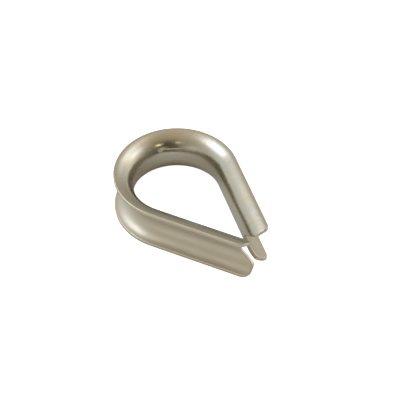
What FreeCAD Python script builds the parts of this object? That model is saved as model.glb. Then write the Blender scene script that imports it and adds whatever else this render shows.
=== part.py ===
import FreeCAD, Part
import math
import os
import Sketcher

# Wire rope thimble, in millimetres.  One strip of sheet metal is pressed to a
# C-shaped channel and bent round a teardrop.  The origin is the centre of the
# round eye at mid height, +X points to the tip and +Z is up.

os.makedirs("parts", exist_ok=True)

DIMENSIONS = [
    ("eye_radius", 10.0),        # smooth side of the channel's web, round the crown
    ("apex_distance", 25.0),     # eye centre to where the webs of the two legs meet
    ("web_flat", 1.6),           # height of the straight bottom of the channel
    ("channel_radius", 4.6),     # smooth side of each quarter-round flange
    ("sheet_thickness", 0.9),
    ("far_upper_end", 0.4),      # how far each flange reaches past the apex
    ("far_lower_end", 0.4),
    ("near_upper_end", 0.9),
    ("near_lower_end", 1.7),
    ("far_notch_back", 3.6),     # how far each web is cut back from the apex
    ("near_notch_back", 2.0),
    ("far_notch_half_height", 4.1),
    ("near_notch_half_height", 3.7),
    ("notch_root", 1.1),         # roundings of the cut
    ("notch_shoulder", 0.8),
    ("far_corner", 1.4),         # rounded corners of the flanges
    ("near_corner", 2.2),
    ("edge_rounding", 0.25),
]
LEGS = [("far", 1), ("near", -1)]        # the leg on the +Y side and the one on -Y
FLANGES = [("upper", 1), ("lower", -1)]

MARGIN = 2.0                  # cutters reach this far past the metal
WEB_CLEARANCE = 0.1           # a web cutter starts this far inside the eye
SMALLEST_CUT = 0.1            # cubic millimetres that every cut has to take at least
SMOOTH_ANGLE = 5.0            # faces that turn by less than this meet smoothly, in degrees
START_ANGLE = 45.0            # degrees, until the expression of a turned sketch is solved

LEG_ANGLE = "acos(dimensions.eye_radius / dimensions.apex_distance)"
APEX_RUN = "sqrt(dimensions.apex_distance ^ 2 - dimensions.eye_radius ^ 2)"
RIM = "(dimensions.eye_radius + dimensions.channel_radius)"
HEIGHT = "(dimensions.web_flat / 2 + dimensions.channel_radius)"

HORIZONTAL_AXIS = -1          # Sketcher's number for a sketch's own x axis
START, END, CENTRE = 1, 2, 3  # Sketcher's numbers for the points of a curve

doc = FreeCAD.newDocument("thimble_eye")
sheet = doc.addObject("Spreadsheet::Sheet", "dimensions")
for row, (alias, value) in enumerate(DIMENSIONS, start=1):
    sheet.set(f"A{row}", alias)
    sheet.set(f"B{row}", str(value))
    sheet.setAlias(f"B{row}", alias)
doc.recompute()
size = dict(DIMENSIONS)


def origin_plane(body, role):
    return next(item for item in body.Origin.OriginFeatures if item.Role == role)


def new_sketch(body, name, role):
    sketch = body.newObject("Sketcher::SketchObject", name)
    sketch.AttachmentSupport = [(origin_plane(body, role), "")]
    sketch.MapMode = "FlatFace"
    return sketch


def turn_sketch(sketch, axis, angle):
    """Turn a sketch about one of its own axes, by an angle given as an expression."""
    sketch.AttachmentOffset = FreeCAD.Placement(
        FreeCAD.Vector(0, 0, 0), FreeCAD.Rotation(axis, START_ANGLE))
    sketch.setExpression("AttachmentOffset.Rotation.Angle", angle)


def line(x0, y0, x1, y1):
    return Part.LineSegment(FreeCAD.Vector(x0, y0, 0), FreeCAD.Vector(x1, y1, 0))


def arc(x, y, radius, start, end):
    """Anticlockwise arc about (x, y), with its angles in degrees."""
    circle = Part.Circle(FreeCAD.Vector(x, y, 0), FreeCAD.Vector(0, 0, 1), radius)
    return Part.ArcOfCircle(circle, math.radians(start), math.radians(end))


def constrain(sketch, *arguments, name=None, value=None):
    """Add one constraint, and bind it to an expression if it has a name."""
    index = sketch.addConstraint(Sketcher.Constraint(*arguments))
    if name:
        sketch.renameConstraint(index, name)
        sketch.setExpression(f"Constraints.{name}", value)


def join(sketch, kind, *pairs):
    """Join the ends of curves: each pair is (curve, point, curve, point)."""
    for pair in pairs:
        constrain(sketch, kind, *pair)


def draw_channel(sketch):
    """The channel's section: a short flat web and two quarter-round flanges.

    The web's smooth side stands at x = -eye_radius, and the groove opens
    towards -x.  The sketch's y is the height.
    """
    eye = -size["eye_radius"]
    half = size["web_flat"] / 2
    outer = size["channel_radius"]
    inner = outer - size["sheet_thickness"]
    groove = eye - size["sheet_thickness"]
    middle = eye - outer
    names = ["web_eye", "upper_eye", "upper_rim", "upper_groove",
             "web_groove", "lower_groove", "lower_rim", "lower_eye"]
    curves = [
        line(eye, -half, eye, half),
        arc(middle, half, outer, 0, 90),
        line(middle, half + outer, middle, half + inner),
        arc(middle, half, inner, 0, 90),
        line(groove, half, groove, -half),
        arc(middle, -half, inner, 270, 360),
        line(middle, -half - inner, middle, -half - outer),
        arc(middle, -half, outer, 270, 360),
    ]
    number = dict(zip(names, sketch.addGeometry(curves, False)))
    join(sketch, "Tangent",
         (number["web_eye"], END, number["upper_eye"], START),
         (number["upper_groove"], START, number["web_groove"], START),
         (number["web_groove"], END, number["lower_groove"], END),
         (number["lower_eye"], END, number["web_eye"], START))
    join(sketch, "Coincident",
         (number["upper_eye"], END, number["upper_rim"], START),
         (number["upper_rim"], END, number["upper_groove"], END),
         (number["lower_groove"], START, number["lower_rim"], START),
         (number["lower_rim"], END, number["lower_eye"], START),
         (number["upper_eye"], CENTRE, number["upper_groove"], CENTRE),
         (number["lower_eye"], CENTRE, number["lower_groove"], CENTRE))
    for part in ("upper", "lower"):
        constrain(sketch, "Vertical", number[f"{part}_rim"])
        constrain(sketch, "Vertical", number[f"{part}_rim"], START,
                  number[f"{part}_eye"], CENTRE)
    constrain(sketch, "Equal", number["upper_eye"], number["lower_eye"])
    constrain(sketch, "Equal", number["upper_groove"], number["lower_groove"])
    constrain(sketch, "Symmetric", number["web_eye"], START,
              number["web_eye"], END, HORIZONTAL_AXIS)
    constrain(sketch, "DistanceY", number["web_eye"], START,
              number["web_eye"], END, 2 * half,
              name="web_flat", value="dimensions.web_flat")
    constrain(sketch, "Radius", number["upper_eye"], outer,
              name="channel_radius", value="dimensions.channel_radius")
    constrain(sketch, "Radius", number["upper_groove"], inner, name="groove_radius",
              value="dimensions.channel_radius - dimensions.sheet_thickness")
    constrain(sketch, "DistanceX", number["web_eye"], START, HORIZONTAL_AXIS, START,
              -eye, name="eye_radius", value="dimensions.eye_radius")


def draw_leg_end(sketch, name):
    """Outline of the waste past the end of a leg, seen from outside the leg.

    The sketch's x runs along the leg from where it leaves the crown, and y is
    the height.  The web is notched back to a round root, and each flange ends
    square, with a round shoulder towards the notch.
    """
    root = size["notch_root"]
    shoulder = size["notch_shoulder"]
    half = size[f"{name}_notch_half_height"]
    apex = math.sqrt(size["apex_distance"] ** 2 - size["eye_radius"] ** 2)
    centre = apex - size[f"{name}_notch_back"] + root
    high = size["web_flat"] / 2 + size["channel_radius"] + MARGIN
    past = apex + 2 * MARGIN
    number = {"root": sketch.addGeometry(arc(centre, 0, root, 90, 270), False)}
    number["past"] = sketch.addGeometry(line(past, high, past, -high), False)
    for part, up in FLANGES:
        end = apex + size[f"{name}_{part}_end"]
        # The flank touches the root arc and the shoulder arc on opposite sides.
        run = end - shoulder - centre
        lean = math.asin((root + shoulder) / math.hypot(run, half))
        touch = math.atan2(half, run) + math.pi / 2 - lean
        across, along = math.cos(touch), math.sin(touch)
        angles = [math.degrees(touch) - 180, 0]
        if up < 0:
            angles = [0, 180 - math.degrees(touch)]
        pieces = [
            line(centre + root * across, up * root * along,
                 end - shoulder - shoulder * across, up * (half - shoulder * along)),
            arc(end - shoulder, up * half, shoulder, *angles),
            line(end, up * half, end, up * high),
            line(end, up * high, past, up * high),
        ]
        flank, corner, face, way = sketch.addGeometry(pieces, False)
        inward, outward = (START, END) if up > 0 else (END, START)
        join(sketch, "Tangent",
             (number["root"], inward, flank, START),
             (flank, END, corner, inward),
             (corner, outward, face, START))
        join(sketch, "Coincident",
             (face, END, way, START),
             (way, END, number["past"], inward))
        constrain(sketch, "Vertical", face)
        constrain(sketch, "Horizontal", way)
        constrain(sketch, "Radius", corner, shoulder,
                  name=f"{part}_shoulder", value="dimensions.notch_shoulder")
        constrain(sketch, "DistanceX", HORIZONTAL_AXIS, START, face, START, end,
                  name=f"{part}_end", value=f"{APEX_RUN} + dimensions.{name}_{part}_end")
        for point, height, label, value in (
                (face, half, "shoulder_height", f"dimensions.{name}_notch_half_height"),
                (way, high, "height", f"{HEIGHT} + {MARGIN}")):
            points = [HORIZONTAL_AXIS, START, point, START]
            if up < 0:
                points = [point, START, HORIZONTAL_AXIS, START]
            constrain(sketch, "DistanceY", *points, height,
                      name=f"{part}_{label}", value=value)
    constrain(sketch, "Vertical", number["past"])
    constrain(sketch, "DistanceX", HORIZONTAL_AXIS, START, number["past"], START, past,
              name="past", value=f"{APEX_RUN} + {2 * MARGIN}")
    constrain(sketch, "PointOnObject", number["root"], CENTRE, HORIZONTAL_AXIS)
    constrain(sketch, "Radius", number["root"], root,
              name="notch_root", value="dimensions.notch_root")
    constrain(sketch, "DistanceX", HORIZONTAL_AXIS, START, number["root"], CENTRE, centre,
              name="root",
              value=f"{APEX_RUN} - dimensions.{name}_notch_back + dimensions.notch_root")


def draw_corner(sketch, name, part, side):
    """Outline of the waste outside the rounded corner of one flange, from above.

    The sketch's x runs along the leg, and its y is the distance from the eye's
    centre, which is negative for the leg on -Y.
    """
    radius = size[f"{name}_corner"]
    rim = size["eye_radius"] + size["channel_radius"]
    apex = math.sqrt(size["apex_distance"] ** 2 - size["eye_radius"] ** 2)
    end = apex + size[f"{name}_{part}_end"]
    inside, past, high = end - radius, end + MARGIN, rim + MARGIN
    quarter = (0, 90) if side > 0 else (270, 360)
    curves = [
        arc(inside, side * (rim - radius), radius, *quarter),
        line(end, side * (rim - radius), past, side * (rim - radius)),
        line(past, side * (rim - radius), past, side * high),
        line(past, side * high, inside, side * high),
        line(inside, side * high, inside, side * rim),
    ]
    corner, end_way, past_end, past_rim, rim_way = sketch.addGeometry(curves, False)
    at_end, at_rim = (START, END) if side > 0 else (END, START)
    join(sketch, "Coincident",
         (corner, at_end, end_way, START),
         (end_way, END, past_end, START),
         (past_end, END, past_rim, START),
         (past_rim, END, rim_way, START),
         (rim_way, END, corner, at_rim))
    constrain(sketch, "Horizontal", end_way)
    constrain(sketch, "Vertical", past_end)
    constrain(sketch, "Horizontal", past_rim)
    constrain(sketch, "Vertical", rim_way)
    constrain(sketch, "Horizontal", corner, CENTRE, corner, at_end)
    constrain(sketch, "Vertical", corner, CENTRE, corner, at_rim)
    constrain(sketch, "DistanceX", end_way, START, end_way, END, MARGIN)
    constrain(sketch, "Radius", corner, radius,
              name="corner", value=f"dimensions.{name}_corner")
    constrain(sketch, "DistanceX", HORIZONTAL_AXIS, START, end_way, START, end,
              name="end", value=f"{APEX_RUN} + dimensions.{name}_{part}_end")
    for point, distance, label, value in (
            (END, rim, "rim", RIM),
            (START, high, "past_rim", f"{RIM} + {MARGIN}")):
        points = [HORIZONTAL_AXIS, START, rim_way, point]
        if side < 0:
            points = [rim_way, point, HORIZONTAL_AXIS, START]
        constrain(sketch, "DistanceY", *points, distance, name=label, value=value)


def add_crown(body):
    """The channel bent round the eye, over the long way round from leg to leg."""
    sketch = new_sketch(body, "crown_section", "XZ_Plane")
    draw_channel(sketch)
    crown = body.newObject("PartDesign::Revolution", "crown")
    crown.Profile = (sketch, [""])
    crown.ReferenceAxis = (sketch, ["V_Axis"])
    crown.Midplane = True
    crown.setExpression("Angle", f"360 deg - 2 * {LEG_ANGLE}")
    doc.recompute()


def add_leg(body, name, side):
    """One straight leg from the crown to past the apex, its end still uncut."""
    sketch = new_sketch(body, f"{name}_section", "XZ_Plane")
    turn_sketch(sketch, FreeCAD.Vector(0, -side, 0), f"180 deg - {LEG_ANGLE}")
    draw_channel(sketch)
    leg = body.newObject("PartDesign::Pad", f"{name}_leg")
    leg.Profile = (sketch, [""])
    leg.Reversed = side > 0
    leg.setExpression("Length", f"{APEX_RUN} + {MARGIN}")
    doc.recompute()


def cut(body, sketch, name, length=None, upward=False):
    """A pocket that has to take some metal away.

    With a length it is cut to both sides of its sketch, and without one it
    runs through everything on one side.
    """
    before = body.Shape.Volume
    pocket = body.newObject("PartDesign::Pocket", name)
    pocket.Profile = (sketch, [""])
    if length:
        pocket.Midplane = True
        pocket.setExpression("Length", length)
    else:
        pocket.Type = "ThroughAll"
        pocket.Reversed = upward
    doc.recompute()
    taken = before - body.Shape.Volume
    print(f"{name} takes {taken:.2f} mm3")
    assert taken > SMALLEST_CUT, f"{name} cuts nothing"


def shape_leg_end(body, name, side):
    """Cut a leg's end to its outline, and round the corner of both flanges."""
    depth = f"(dimensions.channel_radius + {2 * WEB_CLEARANCE})"
    middle = f"(dimensions.eye_radius - {WEB_CLEARANCE} + {depth} / 2)"
    outline = new_sketch(body, f"{name}_end_outline", "XZ_Plane")
    turn_sketch(outline, FreeCAD.Vector(0, -side, 0), f"90 deg - {LEG_ANGLE}")
    outline.setExpression("AttachmentOffset.Base.x", f"{middle} * cos({LEG_ANGLE})")
    outline.setExpression("AttachmentOffset.Base.z",
                          f"{-side} * {middle} * sin({LEG_ANGLE})")
    draw_leg_end(outline, name)
    cut(body, outline, f"{name}_end", length=depth)
    for part, up in FLANGES:
        corner = new_sketch(body, f"{name}_{part}_corner_outline", "XY_Plane")
        turn_sketch(corner, FreeCAD.Vector(0, 0, -side), f"90 deg - {LEG_ANGLE}")
        draw_corner(corner, name, part, side)
        cut(body, corner, f"{name}_{part}_corner", upward=up > 0)


def sharp_edges(shape):
    """Names of the edges where two faces meet at a corner."""
    names = []
    for index, edge in enumerate(shape.Edges, start=1):
        faces = shape.ancestorsOfType(edge, Part.Face)
        if len(faces) != 2:
            continue
        middle = edge.valueAt((edge.FirstParameter + edge.LastParameter) / 2)
        normals = [face.normalAt(*face.Surface.parameter(middle)) for face in faces]
        if abs(normals[0].dot(normals[1])) < math.cos(math.radians(SMOOTH_ANGLE)):
            names.append(f"Edge{index}")
    return names


def build_thimble():
    body = doc.addObject("PartDesign::Body", "thimble")
    body.Label = "thimble"
    add_crown(body)
    for name, side in LEGS:
        add_leg(body, name, side)
        shape_leg_end(body, name, side)
    square_edged = body.Tip
    rounding = body.newObject("PartDesign::Fillet", "edge_rounding")
    rounding.Base = (square_edged, sharp_edges(square_edged.Shape))
    rounding.setExpression("Radius", "dimensions.edge_rounding")
    doc.recompute()
    body.Placement = FreeCAD.Placement()
    return body


subparts = [build_thimble()]
doc.recompute()

for item in doc.Objects:
    faults = [state for state in item.State if state in ("Invalid", "Error")]
    assert not faults, f"{item.Label}: {faults}"
for subpart in subparts:
    assert not subpart.Shape.isNull(), f"{subpart.Label} has no shape"
    assert subpart.Shape.isValid(), f"{subpart.Label} is not valid"
    assert len(subpart.Shape.Solids) == 1, f"{subpart.Label} is not one solid"
for subpart in subparts:
    subpart.Shape.exportStep(f"parts/{subpart.Label}.step")
    box = subpart.Shape.optimalBoundingBox(True, False)
    print(f"{subpart.Label}: {box.XLength:.2f} x {box.YLength:.2f} x {box.ZLength:.2f} mm,"
          f" {subpart.Shape.Volume:.1f} mm3")
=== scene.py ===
import math

import bpy
from mathutils import Matrix, Vector


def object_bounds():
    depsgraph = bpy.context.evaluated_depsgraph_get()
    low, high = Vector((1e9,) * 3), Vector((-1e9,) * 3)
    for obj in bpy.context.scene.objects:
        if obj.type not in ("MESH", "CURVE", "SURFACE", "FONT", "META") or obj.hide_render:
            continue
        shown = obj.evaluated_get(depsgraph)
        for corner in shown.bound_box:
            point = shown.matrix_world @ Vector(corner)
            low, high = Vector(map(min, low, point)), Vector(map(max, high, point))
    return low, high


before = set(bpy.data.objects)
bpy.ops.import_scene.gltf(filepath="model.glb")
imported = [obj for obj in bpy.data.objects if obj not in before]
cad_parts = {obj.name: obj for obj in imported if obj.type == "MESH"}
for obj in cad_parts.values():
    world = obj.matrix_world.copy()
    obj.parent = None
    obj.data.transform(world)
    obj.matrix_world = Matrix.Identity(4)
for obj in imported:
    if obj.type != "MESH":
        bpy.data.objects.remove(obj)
cad_low, cad_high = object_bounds()

scene = bpy.context.scene
scene.view_settings.view_transform = "Standard"

MM = 0.001


def direction(azimuth, elevation):
    """Unit vector, from degrees round from +X and degrees above the table."""
    a, e = math.radians(azimuth), math.radians(elevation)
    return Vector((math.cos(a) * math.cos(e), math.sin(a) * math.cos(e), math.sin(e)))


class Nodes:
    """Short calls that add nodes to a tree and return the output that is used."""

    # Mix node sockets for each kind of value: first input, second input, output.
    MIX_SOCKETS = {"FLOAT": (2, 3, 0), "VECTOR": (4, 5, 1), "RGBA": (6, 7, 2)}

    def __init__(self, tree):
        self.tree = tree

    def put(self, socket, value):
        """Link another node's output to a socket, or set the socket's own value."""
        if isinstance(value, bpy.types.NodeSocket):
            self.tree.links.new(value, socket)
        else:
            socket.default_value = value

    def add(self, kind, inputs=(), output=0, **settings):
        """Add a node. Inputs are given in order, or as a dict by name or number."""
        node = self.tree.nodes.new(kind)
        for name, value in settings.items():
            setattr(node, name, value)
        named = inputs if isinstance(inputs, dict) else dict(enumerate(inputs))
        for key, value in named.items():
            self.put(node.inputs[key], value)
        return node.outputs[output]

    def math(self, operation, *values):
        return self.add("ShaderNodeMath", values, operation=operation)

    def vector(self, operation, *values, output="Vector"):
        return self.add("ShaderNodeVectorMath", values, output, operation=operation)

    def scale(self, vector, factor):
        return self.add("ShaderNodeVectorMath", {0: vector, "Scale": factor},
                        operation="SCALE")

    def mix(self, kind, factor, first, second):
        first_socket, second_socket, output = self.MIX_SOCKETS[kind]
        inputs = {0: factor, first_socket: first, second_socket: second}
        return self.add("ShaderNodeMix", inputs, output, data_type=kind)

    def ramp(self, value, start, end):
        """Smooth step from 0 at start to 1 at end."""
        return self.add("ShaderNodeMapRange", (value, start, end),
                        interpolation_type="SMOOTHSTEP")

    def noise(self, where, scale, detail, roughness):
        return self.add("ShaderNodeTexNoise", {
            "Vector": where, "Scale": scale, "Detail": detail, "Roughness": roughness})


# ---------------------------------------------------------------- camera
CAMERA_AZIMUTH, CAMERA_ELEVATION = -41.7, 46.9
CAMERA_DISTANCE = 393.9 * MM
LENS, SENSOR = 154.5, 36.0
# The camera looks at a point on the long axis, and is then moved across its view.
AIM_X = 11.25 * MM
MOVED_RIGHT, MOVED_UP = -2.05 * MM, 3.36 * MM


def add_camera():
    back = direction(CAMERA_AZIMUTH, CAMERA_ELEVATION)
    right = Vector((0.0, 0.0, 1.0)).cross(back).normalized()
    up = back.cross(right)
    place = (Vector((AIM_X, 0.0, 0.0)) + right * MOVED_RIGHT + up * MOVED_UP
             + back * CAMERA_DISTANCE)
    data = bpy.data.cameras.new("camera")
    data.lens, data.sensor_width = LENS, SENSOR
    camera = bpy.data.objects.new("camera", data)
    camera.matrix_world = (Matrix.Translation(place)
                           @ Matrix((right, up, back)).transposed().to_4x4())
    scene.collection.objects.link(camera)
    scene.camera = camera


# ---------------------------------------------------------------- steel
# The teardrop's plan, as in the CAD model. It tells the eye side from the groove.
EYE_RADIUS, APEX = 10.0 * MM, 25.0 * MM
LEG_COSINE = EYE_RADIUS / APEX
LEG_SINE = math.sqrt(1.0 - LEG_COSINE ** 2)
CROWN_END = EYE_RADIUS * LEG_COSINE + 0.5 * MM
GROOVE_START, GROOVE_FULL = -0.1, 0.2   # normal . outward, where one turns to the other

# Noise: scale per metre, detail and roughness.
PATCHES = (90.0, 2.0, 0.5)
BLOTCHES = (260.0, 3.0, 0.5)
GRAIN = (1900.0, 3.0, 0.6)

# Roughness: middle of the range, and how far the noise spreads it.
EYE_ROUGHNESS, EYE_SPREAD = 0.24, 0.10
GROOVE_ROUGHNESS, GROOVE_SPREAD = 0.42, 0.16
GRAIN_SPREAD = 0.06
# A more polished spot on the far side of the crown.
POLISHED = (-9.6 * MM, 5.0 * MM, 3.4 * MM)
POLISHED_RADIUS, POLISHED_CORE = 4.2 * MM, 0.4
POLISHED_ROUGHNESS = 0.11

WARM_STEEL = (0.600, 0.563, 0.442, 1.0)
COOL_STEEL = (0.568, 0.568, 0.492, 1.0)
# Painted light: the groove side gets a paler base colour than the eye side. This is a
# painted brightening for the light that side catches, not a different steel.
GROOVE_STEEL_PAINTED_LIGHTER = (0.635, 0.605, 0.500, 1.0)
TONE_START, TONE_END = 0.35, 0.65

RELIEF = 0.055 * MM
GRAIN_SHARE = 0.25   # height of the grain against that of the blotches


def groove_share(nodes, where, normal):
    """0 on the side that faces the eye, 1 on the side of the rope groove."""
    x, y = (nodes.add("ShaderNodeSeparateXYZ", (where,), axis) for axis in range(2))
    radial = nodes.vector("NORMALIZE", nodes.add("ShaderNodeCombineXYZ", (x, y, 0.0)))
    across_y = nodes.math("MULTIPLY", nodes.math("SIGN", y), LEG_SINE)
    across_leg = nodes.add("ShaderNodeCombineXYZ", (LEG_COSINE, across_y, 0.0))
    on_leg = nodes.math("GREATER_THAN", x, CROWN_END)
    outward = nodes.mix("VECTOR", on_leg, radial, across_leg)
    facing = nodes.vector("DOT_PRODUCT", normal, outward, output="Value")
    return nodes.ramp(facing, GROOVE_START, GROOVE_FULL)


def spread_round(nodes, noise, middle, spread):
    """A value that the noise moves evenly to both sides of its middle."""
    return nodes.math("MULTIPLY_ADD", noise, spread, middle - spread / 2)


def add_steel():
    """Satin steel, smoother towards the eye, with the marks of pressing and tumbling, and
    a painted lighter tone on the groove side.
    """
    material = bpy.data.materials.new("satin_steel")
    material.use_nodes = True
    nodes = Nodes(material.node_tree)
    shader = material.node_tree.nodes["Principled BSDF"]
    where = nodes.add("ShaderNodeTexCoord", output="Object")
    normal = nodes.add("ShaderNodeNewGeometry", output="Normal")
    groove = groove_share(nodes, where, normal)
    patches = nodes.noise(where, *PATCHES)
    blotches = nodes.noise(where, *BLOTCHES)
    grain = nodes.noise(where, *GRAIN)

    eye_side = spread_round(nodes, blotches, EYE_ROUGHNESS, EYE_SPREAD)
    groove_side = spread_round(nodes, blotches, GROOVE_ROUGHNESS, GROOVE_SPREAD)
    roughness = nodes.mix("FLOAT", groove, eye_side, groove_side)
    away = nodes.vector("DISTANCE", where, POLISHED, output="Value")
    polished = nodes.ramp(away, POLISHED_RADIUS, POLISHED_CORE * POLISHED_RADIUS)
    roughness = nodes.mix("FLOAT", polished, roughness, POLISHED_ROUGHNESS)
    roughness = nodes.math("ADD", roughness,
                           spread_round(nodes, grain, 0.0, GRAIN_SPREAD))
    nodes.put(shader.inputs["Roughness"], roughness)

    drift = nodes.math("MULTIPLY", nodes.math("ADD", blotches, patches), 0.5)
    tone = nodes.ramp(drift, TONE_START, TONE_END)
    colour = nodes.mix("RGBA", tone, WARM_STEEL, COOL_STEEL)
    # Painted light: the groove side is blended to the paler colour, which stands in for
    # the brighter light there.
    colour = nodes.mix("RGBA", groove, colour, GROOVE_STEEL_PAINTED_LIGHTER)
    nodes.put(shader.inputs["Base Color"], colour)
    shader.inputs["Metallic"].default_value = 1.0

    height = nodes.math("MULTIPLY_ADD", grain, GRAIN_SHARE, blotches)
    bump = nodes.add("ShaderNodeBump", {
        "Strength": 1.0, "Distance": RELIEF, "Height": height})
    nodes.put(shader.inputs["Normal"], bump)
    return material


# ---------------------------------------------------------------- table
TABLE_HALF = 3.0
TABLE_GREY = (0.9, 0.9, 0.9, 1.0)
TABLE_GLOW = (1.0, 1.0, 1.0, 1.0)


def add_table():
    """The white table. It glows for camera rays only, so it looks pure white while
    the steel reflects a table that is lit by the room."""
    r, z = TABLE_HALF, cad_low.z
    data = bpy.data.meshes.new("table")
    data.from_pydata([(-r, -r, z), (r, -r, z), (r, r, z), (-r, r, z)], [],
                     [(0, 1, 2, 3)])
    material = bpy.data.materials.new("white_table")
    material.use_nodes = True
    nodes = Nodes(material.node_tree)
    shader = material.node_tree.nodes["Principled BSDF"]
    shader.inputs["Base Color"].default_value = TABLE_GREY
    shader.inputs["Roughness"].default_value = 1.0
    shader.inputs["Specular IOR Level"].default_value = 0.0
    shader.inputs["Emission Color"].default_value = TABLE_GLOW
    seen = nodes.add("ShaderNodeLightPath", output="Is Camera Ray")
    nodes.put(shader.inputs["Emission Strength"], seen)
    data.materials.append(material)
    table = bpy.data.objects.new("table", data)
    scene.collection.objects.link(table)


# ---------------------------------------------------------------- light
# Each is azimuth, elevation and spread in degrees, and colour.
LAMPS = [
    (-146, 5, 40.9, (0.717, 0.737, 0.749)),
    (72, 10, 25.5, (0.848, 0.807, 0.789)),
    (-144, 50, 9.5, (1.383, 1.555, 1.935)),
    (-75, -1, 14.3, (0.793, 0.743, 0.626)),
    (90, 51, 9.5, (1.12, 1.24, 1.47)),
    (59, 37, 9.5, (1.206, 1.300, 1.503)),
    (-178, 58, 6.7, (0.95, 1.15, 1.5)),
    (-147, 55, 7.8, (1.620, 1.657, 1.733)),
    (-10, 6, 7.1, (0.727, 0.622, 0.483)),
]
# A dark screen by the camera, and two small warm lamps in front of it.
SCREEN, SCREEN_DARKNESS = (-20, 33, 14.0), 0.65
SCREEN_LAMPS = [
    (-2, 34, 3.5, (1.9, 1.6, 1.1)),
    (-46, 37, 3.5, (1.2, 1.0, 0.7)),
]
CEILING = (0.467, 0.367, 0.243)


def soft_spot(nodes, where, azimuth, elevation, spread):
    """1 in one direction, fading to 0 over the spread."""
    towards = nodes.vector("DOT_PRODUCT", where, direction(azimuth, elevation),
                           output="Value")
    sharpness = 1.0 / math.radians(spread) ** 2
    return nodes.math("EXPONENT",
                      nodes.math("MULTIPLY_ADD", towards, sharpness, -sharpness))


def add_lamps(nodes, where, light, lamps):
    for *place, colour in lamps:
        lamp = nodes.scale(colour, soft_spot(nodes, where, *place))
        light = nodes.vector("ADD", light, lamp)
    return light


def add_studio():
    """A dim room with a lighter ceiling, lit by soft lamps."""
    world = bpy.data.worlds.new("studio")
    scene.world = world
    world.use_nodes = True
    nodes = Nodes(world.node_tree)
    where = nodes.add("ShaderNodeTexCoord", output="Generated")
    height = nodes.math("MAXIMUM", nodes.add("ShaderNodeSeparateXYZ", (where,), 2), 0.0)
    light = add_lamps(nodes, where, nodes.scale(CEILING, height), LAMPS)
    screen = soft_spot(nodes, where, *SCREEN)
    unscreened = nodes.math("MULTIPLY_ADD", screen, -SCREEN_DARKNESS, 1.0)
    light = add_lamps(nodes, where, nodes.scale(light, unscreened), SCREEN_LAMPS)
    nodes.put(world.node_tree.nodes["Background"].inputs["Color"], light)


add_camera()
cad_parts["thimble"].material_slots[0].material = add_steel()
add_table()
add_studio()
